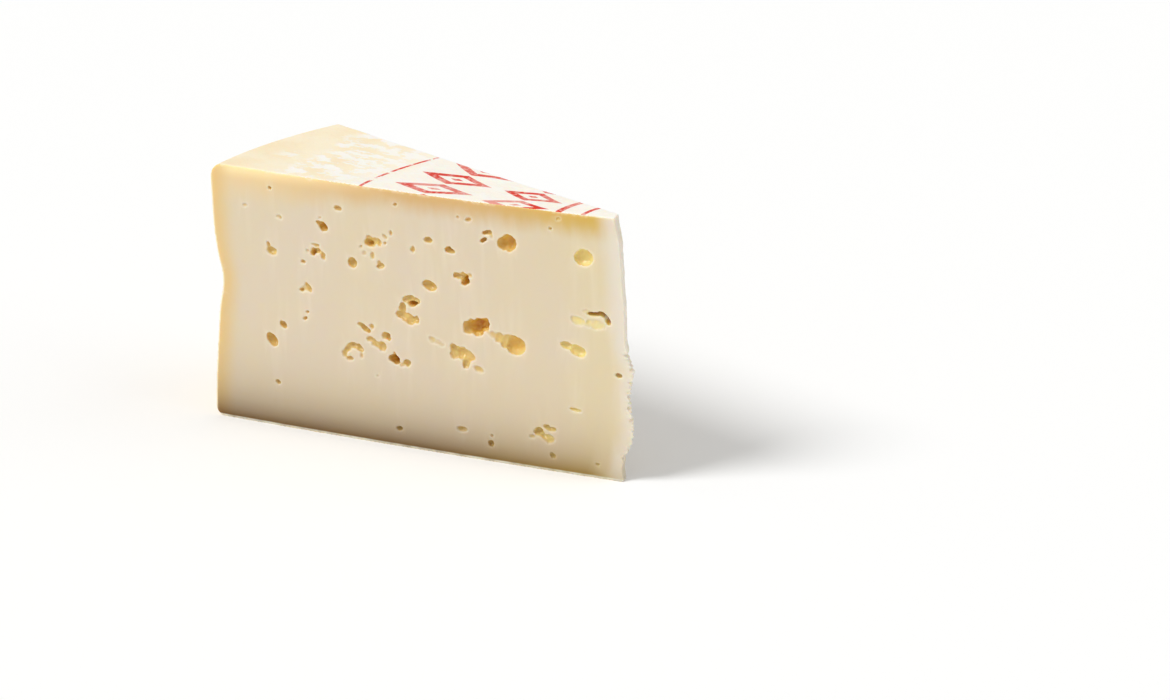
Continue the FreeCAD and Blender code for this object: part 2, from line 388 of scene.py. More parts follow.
# %% The rows of eyes
round_eyes = (
    (0.828, 0.405, 3.2, 2.2, -35, 1.6), (0.856, 0.339, 5.4, 3.6, -50, 2.0),
    (0.844, 0.174, 2.2, 1.5, -30, 1.0), (0.692, 0.892, 3.1, 1.7, -10, 1.1),
    (0.660, 0.690, 3.3, 3.7, 15, 1.7), (0.483, 0.820, 3.3, 2.0, 0, 1.3),
    (0.481, 0.645, 5.6, 3.2, -15, 1.7), (0.301, 0.852, 5.4, 5.8, 20, 3.2),
    (0.311, 0.847, 4.9, 4.4, 25, 2.6),
    (0.134, 0.834, 6.6, 5.6, 0, 2.3), (0.349, 0.501, 3.0, 1.4, -30, 0.35),
    (0.337, 0.493, 3.1, 2.6, -30, 0.5), (0.323, 0.485, 3.3, 3.8, -30, 0.8),
    (0.307, 0.475, 4.0, 5.2, -28, 1.3), (0.287, 0.463, 7.2, 6.4, -22, 2.7),
    (0.466, 0.434, 7.4, 2.6, -18, 0.35), (0.173, 0.493, 4.2, 2.6, -12, 1.5),
    (0.148, 0.478, 6.2, 3.8, -18, 1.8), (0.148, 0.593, 5.2, 3.2, -15, 0.6),
    (0.112, 0.590, 8.6, 3.8, -5, 0.4), (0.127, 0.632, 4.0, 2.0, 0, 0.35),
    (0.152, 0.251, 5.0, 1.1, -5, 0.9), (0.409, 0.107, 4.2, 1.9, 0, 0.8),
    (0.555, 0.070, 2.5, 1.7, 0, 1.1), (0.370, 0.351, 4.2, 2.2, -20, 0.6),
)
# A torn eye is several cracks and lobes that run together.
torn_eyes = (
    (0.852, 0.690, 3.7, 2.7, -10, 1.3), (0.860, 0.712, 1.3, 2.3, 15, 0.9),
    (0.746, 0.715, 4.0, 2.2, 0, 1.3), (0.753, 0.705, 1.9, 2.0, 0, 2.2),
    (0.730, 0.700, 1.8, 3.1, 20, 0.9), (0.747, 0.737, 3.4, 1.2, -10, 0.7),
    (0.766, 0.710, 1.2, 1.5, 0, 0.5), (0.777, 0.664, 2.0, 1.3, -10, 0.9),
    (0.766, 0.568, 4.4, 1.2, -55, 1.1), (0.782, 0.553, 1.7, 1.4, 0, 1.1),
    (0.774, 0.563, 3.0, 2.1, -20, 0.4), (0.769, 0.470, 1.5, 1.0, 0, 0.8),
    (0.775, 0.444, 1.8, 1.2, 30, 1.0),
    (0.728, 0.813, 3.5, 2.8, -25, 2.8), (0.738, 0.825, 2.4, 1.3, -25, 1.1),
    (0.735, 0.846, 1.8, 1.0, 20, 0.4),
    (0.620, 0.773, 2.8, 1.7, -10, 2.5), (0.617, 0.778, 4.8, 2.7, 5, 1.3),
    (0.620, 0.799, 2.6, 1.2, -10, 0.7), (0.597, 0.783, 1.8, 3.0, 25, 1.1),
    (0.605, 0.789, 2.8, 2.0, 0, 0.9), (0.583, 0.784, 1.3, 1.3, 0, 0.6),
    (0.583, 0.809, 2.6, 1.0, -40, 0.6), (0.569, 0.826, 1.3, 2.1, 0, 0.7),
    (0.639, 0.757, 1.5, 1.4, 0, 0.5), (0.632, 0.734, 1.9, 1.9, 0, 0.4),
    (0.613, 0.732, 1.6, 3.1, 5, 0.6), (0.594, 0.693, 3.3, 1.8, 18, 1.2),
    (0.598, 0.706, 1.3, 1.5, 0, 0.7), (0.519, 0.775, 1.8, 2.3, -10, 0.8),
    (0.436, 0.797, 2.2, 1.9, 0, 2.0), (0.433, 0.790, 3.6, 1.6, -5, 1.4),
    (0.349, 0.880, 4.1, 1.4, 12, 1.3), (0.339, 0.869, 1.1, 2.2, 10, 0.5),
    (0.357, 0.850, 3.0, 1.3, 28, 1.8),
    (0.399, 0.684, 2.8, 3.4, -20, 3.4), (0.413, 0.698, 4.8, 1.8, -8, 1.4),
    (0.403, 0.706, 2.7, 1.5, -20, 1.2), (0.388, 0.707, 2.0, 1.4, -30, 0.6),
    (0.523, 0.580, 6.0, 2.9, -8, 1.4), (0.522, 0.564, 3.3, 1.7, 0, 3.6),
    (0.539, 0.576, 1.8, 2.1, 0, 0.9), (0.544, 0.545, 2.5, 3.5, 0, 1.5),
    (0.548, 0.517, 3.6, 2.5, -10, 1.3), (0.532, 0.509, 5.6, 3.5, -22, 1.4),
    (0.512, 0.507, 1.9, 2.5, 10, 1.3), (0.527, 0.489, 2.7, 1.4, -20, 0.8),
    (0.377, 0.513, 6.2, 5.4, 0, 3.7), (0.358, 0.525, 4.3, 4.1, -10, 3.2),
    (0.394, 0.507, 3.7, 4.1, 0, 2.4), (0.365, 0.493, 1.8, 1.9, 0, 2.2),
    (0.368, 0.541, 3.1, 1.6, 0, 1.8),
    (0.635, 0.444, 4.4, 2.0, -35, 1.3), (0.625, 0.434, 1.8, 1.7, 0, 1.9),
    (0.617, 0.453, 2.0, 1.6, -20, 0.7), (0.646, 0.454, 1.7, 1.1, -30, 0.8),
    (0.580, 0.423, 3.4, 2.4, -28, 1.9), (0.589, 0.424, 1.6, 2.7, 0, 0.8),
    (0.620, 0.402, 3.3, 1.9, -10, 0.9), (0.607, 0.387, 3.9, 2.3, -25, 0.8),
    (0.593, 0.381, 3.3, 3.3, -10, 1.2),
    (0.675, 0.351, 3.4, 2.0, 45, 1.0), (0.662, 0.367, 3.7, 1.8, 0, 1.1),
    (0.646, 0.361, 3.4, 2.0, -35, 1.3), (0.642, 0.336, 1.5, 2.8, 0, 0.5),
    (0.682, 0.331, 1.9, 2.7, 0, 0.8), (0.670, 0.315, 2.9, 1.4, 5, 0.9),
    (0.563, 0.337, 3.9, 3.0, -15, 4.6), (0.571, 0.341, 2.5, 2.3, -20, 2.1),
    (0.564, 0.358, 0.9, 2.0, 15, 0.9), (0.535, 0.332, 2.8, 2.3, -15, 1.3),
    (0.547, 0.322, 2.3, 1.7, 0, 0.5),
    (0.411, 0.403, 8.6, 3.4, -24, 1.3), (0.392, 0.396, 4.6, 3.1, -20, 1.5),
    (0.425, 0.393, 4.0, 3.0, -30, 0.8), (0.399, 0.365, 2.8, 3.7, -10, 1.1),
    (0.234, 0.144, 3.6, 2.7, -10, 1.5), (0.225, 0.131, 3.4, 1.6, -30, 1.2),
    (0.211, 0.165, 5.0, 1.6, -12, 1.3), (0.212, 0.123, 4.4, 3.0, -10, 0.9),
    (0.250, 0.122, 2.4, 1.2, 0, 0.5), (0.203, 0.059, 2.4, 1.8, -40, 0.9),
    (0.343, 0.068, 2.0, 2.2, 0, 1.2), (0.341, 0.100, 1.1, 1.3, 20, 0.6),
)
# Two eyes near the nose go right through. Their last value is degrees of turn to the nose.
through_eyes = (
    (0.110, 0.626, 4.8, 1.4, 5, 20), (0.092, 0.629, 3.2, 1.7, -25, 20),
    (0.081, 0.610, 1.7, 3.7, 25, 20), (0.056, 0.406, 2.4, 1.6, -10, 20),
)
# Pinholes and dents, and a chip in the top edge.
small_marks = (
    (0.853, 0.932, 1.5, 1.1, -20, 0.9), (0.913, 0.852, 2.3, 1.2, 10, 0.4),
    (0.833, 0.824, 2.6, 1.5, 0, 0.5), (0.391, 0.919, 2.6, 1.2, 15, 0.8),
    (0.415, 0.923, 1.3, 0.9, 0, 0.6), (0.103, 0.052, 1.6, 1.1, -20, 0.6),
    (0.190, 0.968, 1.8, 1.0, 15, 0.5), (0.208, 0.927, 1.3, 1.0, 20, 0.9),
    (0.558, 0.938, 1.5, 1.0, 20, 0.9), (0.758, 0.992, 1.9, 1.0, 0, 0.5),
    (0.605, 0.264, 1.6, 1.0, 0, 0.4), (0.557, 0.999, 3.8, 1.6, 0, 0.9),
)
print("rows:", [len(rows) for rows in (round_eyes, torn_eyes, through_eyes, small_marks)])

# %% [markdown]
# The back cut shows eyes of the same kinds. They are scattered by chance, with a fixed seed,
# and a place that is too near another eye or the rind is drawn again.

# %% Rows for the eyes of the back cut
back_eye_count = 26
back_eye_seed = 11
smallest_eye = 2.0 * mm
largest_eye = 7.5 * mm
nearest_to_nose = 0.16      # as a share of the wheel's radius
flattening = 0.6, 1         # heights, as shares of the width
eye_depths = 0.3, 0.6       # the same for depths
deepest_back_eye = 0.33     # as a share of the wedge's thickness there
steepest_tilt = 50          # degrees
eye_spacing = 2.0 * mm
rind_margin = 4.0 * mm


def wedge_thickness(along):
    """How far apart the two cuts are."""
    return (cut_point(1, along, 0) - cut_point(-1, along, 0)).length


def back_eye_rows():
    """Rows for the back cut. Sizes are in metres here, like the places."""
    chance = random.Random(back_eye_seed)
    rows = []
    while len(rows) < back_eye_count:
        size = smallest_eye + (largest_eye - smallest_eye) * chance.random() ** 3
        border = size / 2 + rind_margin
        along = chance.uniform(nearest_to_nose, 1 - border / wheel_radius)
        up = chance.uniform(border / wheel_height, 1 - border / wheel_height)
        here = cut_point(1, along, up)
        height = size * chance.uniform(*flattening)
        tilt = chance.uniform(-steepest_tilt, steepest_tilt)
        deepest = wedge_thickness(along) * deepest_back_eye
        depth = min(size * chance.uniform(*eye_depths), deepest)
        if all(
            (here - cut_point(1, *row[:2])).length > (size + row[2]) / 2 + eye_spacing
            for row in rows
        ):
            rows.append((along, up, size, height, tilt, depth))
    return rows


back_rows = back_eye_rows()
print("widest eye behind:", round(max(row[2] for row in back_rows) / mm, 1), "mm")

# %% Cracks that run into a torn eye
torn_share = 0.5            # of the eyes of the back cut
lobe_count = 4
lobe_distances = 0.4, 0.8   # these and the next are shares of the torn eye's own size
lobe_widths, lobe_heights, lobe_depths = (0.3, 0.7), (0.25, 0.5), (0.3, 0.6)
lobe_tilt = 60              # degrees


def lobes_beside(row, seed):
    """Smaller cracks that run into a torn eye."""
    chance = random.Random(seed)
    along, up, width, height, tilt, depth = row
    lobes = []
    for _ in range(lobe_count):
        around = math.radians(tilt) + chance.uniform(0, 2 * math.pi)
        away = chance.uniform(*lobe_distances) * width
        lobes.append((
            along + away * math.cos(around) / wheel_radius,
            up + away * math.sin(around) / wheel_height,
            width * chance.uniform(*lobe_widths), height * chance.uniform(*lobe_heights),
            chance.uniform(-lobe_tilt, lobe_tilt), depth * chance.uniform(*lobe_depths),
        ))
    return lobes


print(lobe_count, "cracks to a torn eye behind")

# %% Turn every row into a blob
round_waver = 0.18          # how far a round eye's skin strays, as a share of its size
torn_waver = 0.55
eye_sink = 0.12             # the middle of a blob lies this share of its depth inside
through_reach = 1.5         # a through-eye's depth, as a share of the thickness there
in_metres = np.array((1, 1, mm, mm, 1, mm))


def eye_blob(side, row, ragged, turn=0.0):
    """Where a blob lies, how it is turned, its half sizes and how far its skin strays."""
    along, up, width, height, tilt, depth = row
    to_heel, outward = cut_frame(side)
    lean = math.radians(tilt)
    wide = to_heel * (side * math.cos(lean)) + Vector((0, 0, math.sin(lean)))
    axes = Matrix((wide, outward.cross(wide), outward)).transposed()
    turned = Matrix.Rotation(math.radians(turn), 3, "Z") @ axes
    half = Vector((width / 2, height / 2, depth))
    sunk = cut_point(side, along, up) - turned.col[2] * depth * eye_sink
    return sunk, turned.to_euler(), half, ragged


blobs = [eye_blob(-1, row * in_metres, round_waver) for row in round_eyes]
blobs += [eye_blob(-1, row * in_metres, torn_waver) for row in torn_eyes + small_marks]
for along, up, width, height, tilt, turn in through_eyes:
    depth = wedge_thickness(along) * through_reach / mm
    row = (along, up, width, height, tilt, depth)
    blobs.append(eye_blob(-1, row * in_metres, 0.0, turn))
for count, row in enumerate(back_rows):
    torn = count < back_eye_count * torn_share
    lobes = lobes_beside(row, count) if torn else []
    blobs.append(eye_blob(1, row, torn_waver if torn else round_waver))
    blobs += [eye_blob(1, lobe, torn_waver) for lobe in lobes]
print(len(blobs), "eyes,", back_eye_count, "of them behind")

# %% [markdown]
# ## A Geometry Nodes tree for the eyes
#
# The points carry what the tree needs as attributes: half sizes, turn and waver. The tree
# puts a ball on each point, makes the balls real, and then moves their skin by two noises, a
# broad one for lobes and a fine one for crumbs. Both noises are measured in the size of the
# eye, so small eyes are as uneven as large ones.

# %% Helpers for node trees
def add_node(tree, kind, settings=None, **inputs):
    """A node with its settings. Inputs are given by socket name, with _ for a space."""
    node = tree.nodes.new(kind)
    for name, value in (settings or {}).items():
        setattr(node, name, value)
    fill_inputs(tree, node, **inputs)
    return node


def fill_inputs(tree, node, **inputs):
    """Fills a node's inputs, given by socket name in the same way."""
    for name, value in inputs.items():
        plug_in(tree, node.inputs[name.replace("_", " ")], value)


def plug_in(tree, socket, value):
    """Links a socket to another one, or sets its value."""
    if isinstance(value, bpy.types.NodeSocket):
        tree.links.new(value, socket)
    else:
        socket.default_value = value


def maths(tree, operation, *values, kind="ShaderNodeMath"):
    """The output of a math node. A length comes out of the second socket of a vector one."""
    node = add_node(tree, kind, {"operation": operation})
    for socket, value in zip(node.inputs, values):
        plug_in(tree, socket, value)
    return node.outputs[1 if operation == "LENGTH" else 0]


def times(tree, first, *others):
    """The product of some values."""
    for other in others:
        first = maths(tree, "MULTIPLY", first, other)
    return first


def vector_maths(tree, operation, *values):
    return maths(tree, operation, *values, kind="ShaderNodeVectorMath")


def scaled(tree, vector, factor):
    """A vector times a number."""
    settings = {"operation": "SCALE"}
    return add_node(tree, "ShaderNodeVectorMath", settings, Vector=vector, Scale=factor).outputs[0]


def new_group(name, kind, inputs, outputs):
    """A node group with named sockets. Returns the group, its inputs and its output node."""
    tree = bpy.data.node_groups.new(name, kind)
    for direction, sockets in (("INPUT", inputs), ("OUTPUT", outputs)):
        for socket_name, (socket_type, default) in sockets.items():
            socket = tree.interface.new_socket(
                socket_name, in_out=direction, socket_type="NodeSocket" + socket_type
            )
            if default is not None:
                socket.default_value = default
    return tree, tree.nodes.new("NodeGroupInput").outputs, tree.nodes.new("NodeGroupOutput")


def named(tree, name, kind):
    """Reads an attribute of the geometry."""
    node = add_node(tree, "GeometryNodeInputNamedAttribute", {"data_type": kind}, Name=name)
    return node.outputs["Attribute"]


print("node helpers:", [helper.__name__ for helper in (add_node, maths, scaled, new_group)])

# %% The tree of the eyes
eye_look = {
    "Ball steps": ("Int", 5), "Lobes": ("Float", 0.9), "Crumbs": ("Float", 3.6),
    "Crumb share": ("Float", 0.75), "Seed": ("Float", 7.0),
}


def eye_tree():
    tree, given, result = new_group(
        "eyes of the paste",
        "GeometryNodeTree",
        {"Eye points": ("Geometry", None), **eye_look, "Material": ("Material", None)},
        {"Geometry": ("Geometry", None)},
    )
    ball = add_node(
        tree, "GeometryNodeMeshIcoSphere", Radius=1.0, Subdivisions=given["Ball steps"]
    )
    placed = add_node(
        tree, "GeometryNodeInstanceOnPoints",
        Points=given["Eye points"], Instance=ball.outputs["Mesh"],
        Rotation=named(tree, "turn", "FLOAT_VECTOR"),
        Scale=named(tree, "half_size", "FLOAT_VECTOR"),
    )
    real = add_node(tree, "GeometryNodeRealizeInstances", Geometry=placed.outputs[0])
    size = named(tree, "mean_size", "FLOAT")
    place = add_node(tree, "GeometryNodeInputPosition").outputs[0]
    in_eye_sizes = scaled(tree, place, maths(tree, "DIVIDE", 1.0, size))
    seeded = vector_maths(tree, "ADD", in_eye_sizes, given["Seed"])
    stray = []
    for scale in (given["Lobes"], given["Crumbs"]):
        chance = add_node(tree, "ShaderNodeTexNoise", Vector=seeded, Scale=scale, Detail=2.0)
        stray.append(vector_maths(tree, "SUBTRACT", chance.outputs["Color"], (0.5, 0.5, 0.5)))
    both = vector_maths(tree, "ADD", stray[0], scaled(tree, stray[1], given["Crumb share"]))
    waver = times(tree, named(tree, "waver", "FLOAT"), size, 2.0)
    moved = add_node(
        tree, "GeometryNodeSetPosition",
        Geometry=real.outputs[0], Offset=scaled(tree, both, waver),
    )
    finished = add_node(
        tree, "GeometryNodeSetMaterial", Geometry=moved.outputs[0], Material=given["Material"]
    )
    fill_inputs(tree, result, Geometry=finished.outputs[0])
    return tree


eye_nodes = eye_tree()
print("tree of the eyes:", len(eye_nodes.nodes), "nodes")

# %% Points for the tree, and the eyes made real
def eye_points():
    """A mesh with only points, one for each eye."""
    mesh = bpy.data.meshes.new("eye points")
    mesh.from_pydata([blob[0] for blob in blobs], [], [])
    values = {
        "turn": ("FLOAT_VECTOR", "vector", [tuple(blob[1]) for blob in blobs]),
        "half_size": ("FLOAT_VECTOR", "vector", [tuple(blob[2]) for blob in blobs]),
        "mean_size": ("FLOAT", "value", [(blob[2].x + blob[2].y) / 2 for blob in blobs]),
        "waver": ("FLOAT", "value", [blob[3] for blob in blobs]),
    }
    for name, (kind, field, rows) in values.items():
        attribute = mesh.attributes.new(name, kind, "POINT")
        attribute.data.foreach_set(field, np.array(rows, np.float32).ravel())
    return mesh_object("eyes", mesh)


def set_inputs(modifier, values):
    """Sets a Geometry Nodes modifier's inputs by their names."""
    for item in modifier.node_group.interface.items_tree:
        if item.in_out == "INPUT" and item.name in values:
            modifier[item.identifier] = values[item.name]


def made_real(piece):
    """Applies a piece's modifiers and drops them."""
    bpy.context.view_layer.update()
    evaluated = piece.evaluated_get(bpy.context.evaluated_depsgraph_get())
    mesh = bpy.data.meshes.new_from_object(evaluated)
    piece.modifiers.clear()
    piece.data = mesh


eyes = eye_points()
eye_modifier = eyes.modifiers.new("eyes", "NODES")
eye_modifier.node_group = eye_nodes
set_inputs(eye_modifier, {name: value for name, (_, value) in eye_look.items()})
made_real(eyes)
print("eye blobs:", len(eyes.data.polygons), "faces")

# %% [markdown]
# ## Cut the eyes open
#
# Neighbouring blobs run into each other, so they are first remeshed into one skin. Then a
# boolean takes them out of the body. Its lips are knife sharp, while cheese is soft, so the
# cut body is remeshed as well and relaxed twice: that rounds the lips by a few tenths of a
# millimetre and gives an even mesh. A last step thins out the flat stretches. A cut can leave
# a crumb loose in the air, so only the largest island of faces is kept.

# %% Carve, round and thin out the body
eye_voxel = 0.18 * mm
body_voxel = 0.30 * mm
triangle_goal = 185_000


def use_modifier(piece, name, kind, **settings):
    """Gives a piece a modifier and makes its result real."""
    modifier = piece.modifiers.new(name, kind)
    for setting, value in settings.items():
        setattr(modifier, setting, value)
    made_real(piece)
    print(name + ":", len(piece.data.polygons), "faces")


def drop_specks(piece):
    """Keeps the largest island of faces and drops what the cuts left loose."""
    shape = bmesh.new()
    shape.from_mesh(piece.data)
    unseen = set(shape.verts)
    islands = []
    while unseen:
        island, found = [], [unseen.pop()]
        while found:
            vertex = found.pop()
            island.append(vertex)
            beside = {edge.other_vert(vertex) for edge in vertex.link_edges} & unseen
            unseen -= beside
            found.extend(beside)
        islands.append(island)
    islands.sort(key=len)
    loose = [vertex for island in islands[:-1] for vertex in island]
    bmesh.ops.delete(shape, geom=loose, context="VERTS")
    shape.to_mesh(piece.data)
    shape.free()
    return len(islands) - 1


use_modifier(eyes, "joined eyes", "REMESH", mode="VOXEL", voxel_size=eye_voxel)
use_modifier(
    body, "carved body", "BOOLEAN", operation="DIFFERENCE", solver="MANIFOLD", object=eyes
)
use_modifier(body, "even body", "REMESH", mode="VOXEL", voxel_size=body_voxel)
use_modifier(body, "soft lips", "SMOOTH", factor=0.5, iterations=2)
kept_share = min(1.0, triangle_goal / (2 * len(body.data.polygons)))
use_modifier(body, "thinned body", "DECIMATE", ratio=kept_share)
print("loose specks dropped:", drop_specks(body))

# %% [markdown]
# ## What the finishes need to know
#
# The paste is golden inside an eye, with a painted highlight at its rim and painted shade where
# the eye is deep, and it dries and darkens towards the rind, with painted shade added at the base
# and painted light through the thin nose. A shader can't tell how deep in an eye a place is, so
# that is measured here against the uncut skin and kept in attributes, in millimetres. The nearest
# region of the uncut skin also says which faces are rind.

# %% Measure the carved body
lip_highlight_width = 1.0             # millimetres
eye_wall_depth = 0.12       # millimetres below the skin, where a wall begins
heel_depth_kept = 30.0      # millimetres, and the same for the nose
paste_slot, rind_slot = 0, 1
rind_regions = (2, 3, 4)    # heel, top and base


def measured(piece):
    """Depth in an eye, nearness to a lip, and how far the heel and nose are, for each vertex."""
    places = vertex_places(piece)
    depth = np.array([skin.find_nearest(place)[3] for place in places]) / mm
    walls = np.flatnonzero(depth > eye_wall_depth)
    tree = kdtree.KDTree(len(walls))
    for number in walls:
        tree.insert(places[number], int(number))
    tree.balance()
    to_wall = np.array([tree.find(place)[2] for place in places]) / mm
    # Nearness to an eye's rim, which steers a painted highlight on the paste there.
    lip = np.clip(1 - to_wall / lip_highlight_width, 0, 1) * (depth < eye_wall_depth)
    reach = np.hypot(places[:, 0], places[:, 1])
    to_heel = (side_radius(places[:, 2]) - reach) / mm
    to_nose = (reach - break_setback(places[:, 2] / wheel_height)) / mm
    values = {"eye_depth": depth, "lip": lip}
    for name, value in (("to_heel", to_heel), ("to_nose", to_nose)):
        values[name] = np.clip(value, 0, heel_depth_kept)
    for name, value in values.items():
        attribute = piece.data.attributes.new(name, "FLOAT", "POINT")
        attribute.data.foreach_set("value", value.astype(np.float32))
    return depth


def rind_or_paste(piece):
    """The slot of each face: rind where it lies on the heel, top or base, but not in an eye."""
    slots = []
    for face in piece.data.polygons:
        _, _, nearest, distance = skin.find_nearest(face.center)
        on_rind = region_of[nearest] in rind_regions and distance < eye_wall_depth * mm
        slots.append(rind_slot if on_rind else paste_slot)
    return slots


depth = measured(body)
face_slots = rind_or_paste(body)
print("deepest eye", round(float(depth.max()), 1), "mm,", sum(face_slots), "faces of rind")

# %% Move the body from the wheel's axis into the frame
fullest = float(side_profile(rim_steps, side_steps)[0].max())
axis_place = Vector((low.x + fullest, 0, 0))
span = vertex_places(body)
axis_place.y = (low.y + high.y) / 2 - (span[:, 1].min() + span[:, 1].max()) / 2
inside = np.clip(span + np.array(axis_place), np.array(low), np.array(high))
body.data.vertices.foreach_set("co", inside.ravel())
body.data.update()
body.name = body.data.name = "cheese_wedge_looks"
print("axis at", [round(value / mm, 2) for value in axis_place], "mm")

# %% [markdown]
# ## Shader groups that both finishes use
#
# Paste and rind are the same cheese, so they share three effects: where a place lies about
# the wheel's axis, blotches of colour, and a fine skin of pores. Each is a node group with
# named inputs, built once. They work in millimetres, which keeps the numbers readable.

# %% Helpers for shaders
def srgb(red, green, blue):
    """A colour as it should look, from 0 to 255, as Blender's linear colour."""
    shares = (value / 255 for value in (red, green, blue))
    linear = [s / 12.92 if s <= 0.04045 else ((s + 0.055) / 1.055) ** 2.4 for s in shares]
    return (*linear, 1.0)


def ease(tree, value, start, end, low_value=0.0, high_value=1.0):
    """Goes smoothly from the low value at start to the high one at end."""
    node = add_node(
        tree, "ShaderNodeMapRange", {"interpolation_type": "SMOOTHSTEP"}, Value=value,
        From_Min=start, From_Max=end, To_Min=low_value, To_Max=high_value,
    )
    return node.outputs["Result"]


def mixed(tree, factor, first, second, blend="MIX"):
    """Mixes two colours. The sockets of this node share their names, so they are numbered."""
    node = add_node(tree, "ShaderNodeMix", {"data_type": "RGBA", "blend_type": blend})
    for number, value in ((0, factor), (6, first), (7, second)):
        plug_in(tree, node.inputs[number], value)
    return node.outputs[2]


def use_group(tree, group, **inputs):
    return add_node(tree, "ShaderNodeGroup", {"node_tree": group}, **inputs).outputs


print("mid grey is", round(srgb(128, 128, 128)[0], 3), "in linear light")

# %% Group: where a place lies about the wheel's axis
def wheel_group():
    tree, given, result = new_group(
        "about the wheel",
        "ShaderNodeTree",
        {"Axis X": ("Float", 0.0), "Axis Y": ("Float", 0.0)},
        {
            "Place": ("Vector", None), "Reach": ("Float", None),
            "Turn": ("Float", None), "Height": ("Float", None),
        },
    )
    object_place = add_node(tree, "ShaderNodeTexCoord").outputs["Object"]
    millimetres = scaled(tree, object_place, 1 / mm)
    axis = add_node(tree, "ShaderNodeCombineXYZ", X=given["Axis X"], Y=given["Axis Y"])
    place = vector_maths(tree, "SUBTRACT", millimetres, axis.outputs[0])
    parts = add_node(tree, "ShaderNodeSeparateXYZ", Vector=place).outputs
    flat = add_node(tree, "ShaderNodeCombineXYZ", X=parts["X"], Y=parts["Y"]).outputs[0]
    reach = vector_maths(tree, "LENGTH", flat)
    turn = maths(tree, "ARCTAN2", parts["Y"], times(tree, parts["X"], -1.0))
    fill_inputs(tree, result, Place=place, Reach=reach, Turn=turn, Height=parts["Z"])
    return tree


about_wheel = wheel_group()
axis_in_mm = {"Axis_X": axis_place.x / mm, "Axis_Y": axis_place.y / mm}
height_in_mm = wheel_height / mm
print("the wheel's axis in the groups:", axis_in_mm)

# %% Groups: blotches and pores
def mottle_group():
    """Blotches from 0 to 1. Stretch draws them out along one direction."""
    tree, given, result = new_group(
        "mottle",
        "ShaderNodeTree",
        {
            "Place": ("Vector", None), "Stretch": ("Vector", (1, 1, 1)),
            "Pitch": ("Float", 10.0), "Detail": ("Float", 3.0), "Fineness": ("Float", 0.5),
            "From": ("Float", 0.35), "To": ("Float", 0.65),
        },
        {"Value": ("Float", None)},
    )
    drawn = vector_maths(tree, "DIVIDE", given["Place"], given["Stretch"])
    frequency = maths(tree, "DIVIDE", 1.0, given["Pitch"])
    chance = add_node(
        tree, "ShaderNodeTexNoise", Vector=drawn, Scale=frequency, Detail=given["Detail"],
        Roughness=given["Fineness"],
    )
    fill_inputs(tree, result, Value=ease(tree, chance.outputs[0], given["From"], given["To"]))
    return tree


def pore_group():
    """A fine uneven skin, as a height in shares: grains with small pits between them."""
    tree, given, result = new_group(
        "pores",
        "ShaderNodeTree",
        {"Place": ("Vector", None), "Grain": ("Float", 0.7), "Pit share": ("Float", 0.3)},
        {"Height": ("Float", None)},
    )
    frequency = maths(tree, "DIVIDE", 1.0, given["Grain"])
    grain = add_node(
        tree, "ShaderNodeTexNoise", Vector=given["Place"], Scale=frequency, Detail=3.0
    )
    cells = add_node(
        tree, "ShaderNodeTexVoronoi", Vector=given["Place"],
        Scale=times(tree, frequency, 0.6),
    )
    pits = ease(tree, cells.outputs["Distance"], 0.05, 0.3, -1.0, 0.0)
    sunk = maths(tree, "MULTIPLY_ADD", pits, given["Pit share"], grain.outputs[0])
    fill_inputs(tree, result, Height=sunk)
    return tree


def mottled(tree, place, **inputs):
    return use_group(tree, mottle, Place=place, **inputs)[0]


def pore_height(tree, place, grain, pit_share):
    return use_group(tree, pores, Place=place, Grain=grain, Pit_share=pit_share)[0]


mottle, pores = mottle_group(), pore_group()
print("shader groups:", [group.name for group in (about_wheel, mottle, pores)])

# %% [markdown]
# ## The paste
#
# Cut paste is ivory, satin and a little moist, and light goes some millimetres into it. It
# turns golden under the top rind and at the heel. Near the base it is browner, partly because it
# has dried there and partly as painted shade. Inside an eye it is glossy and golden, and brown
# where the eye is deep, which is partly its own tint and partly painted shade of the hollow; a
# painted highlight lightens the rims of the eyes, and near the thin nose the paste and its eyes
# are painted paler, as light shining through. A Principled shader with subsurface light does
# this, fed by the measured attributes. The knife left faint upright streaks, which are a bump of
# one noise drawn out along the height.

# %% What a shader knows about a place
def new_material(name):
    material = bpy.data.materials.new(name)
    material.use_nodes = True
    tree = material.node_tree
    return material, tree, tree.nodes["Principled BSDF"]


def attribute(tree, name):
    return add_node(tree, "ShaderNodeAttribute", {"attribute_name": name}).outputs["Fac"]


def place_facts(tree, blotch_pitch):
    """Where a place lies about the wheel, in millimetres, and how blotched it is."""
    wheel = use_group(tree, about_wheel, **axis_in_mm)
    return SimpleNamespace(
        place=wheel["Place"], reach=wheel["Reach"], turn=wheel["Turn"], height=wheel["Height"],
        blotches=mottled(tree, wheel["Place"], Pitch=blotch_pitch, From=0.3, To=0.7),
    )


def paste_facts(tree):
    """The same for the paste, with the measured attributes."""
    at = place_facts(tree, 22.0)
    at.to_nose, at.to_heel = attribute(tree, "to_nose"), attribute(tree, "to_heel")
    at.below_top = maths(tree, "SUBTRACT", height_in_mm, at.height)
    at.near_heel = ease(tree, at.reach, 80.0, 156.0)
    at.ragged = mottled(tree, at.place, Pitch=5.0, Stretch=(1, 1, 2.5), From=0.2, To=0.8)
    return at


print("attributes:", [item.name for item in body.data.attributes if item.domain == "POINT"])

# %% The paste's ground and its golden band
ivory, warm_ivory, backlit_nose_ivory = srgb(222, 207, 184), srgb(223, 208, 179), srgb(228, 214, 166)
band_gold, nose_gold, heel_gold = srgb(216, 179, 118), srgb(214, 178, 82), srgb(238, 211, 160)
shoulder_cream = srgb(252, 230, 178)
dry_heel, backlit_nose_grey = srgb(227, 197, 134), srgb(229, 222, 209)
band_widths = 8.8, 14.0     # millimetres, near the nose and at the heel
heel_crust = 9.0, 1.5       # millimetres in, where the drying starts and is full
backlit_nose_reach = 7.5, 0.8


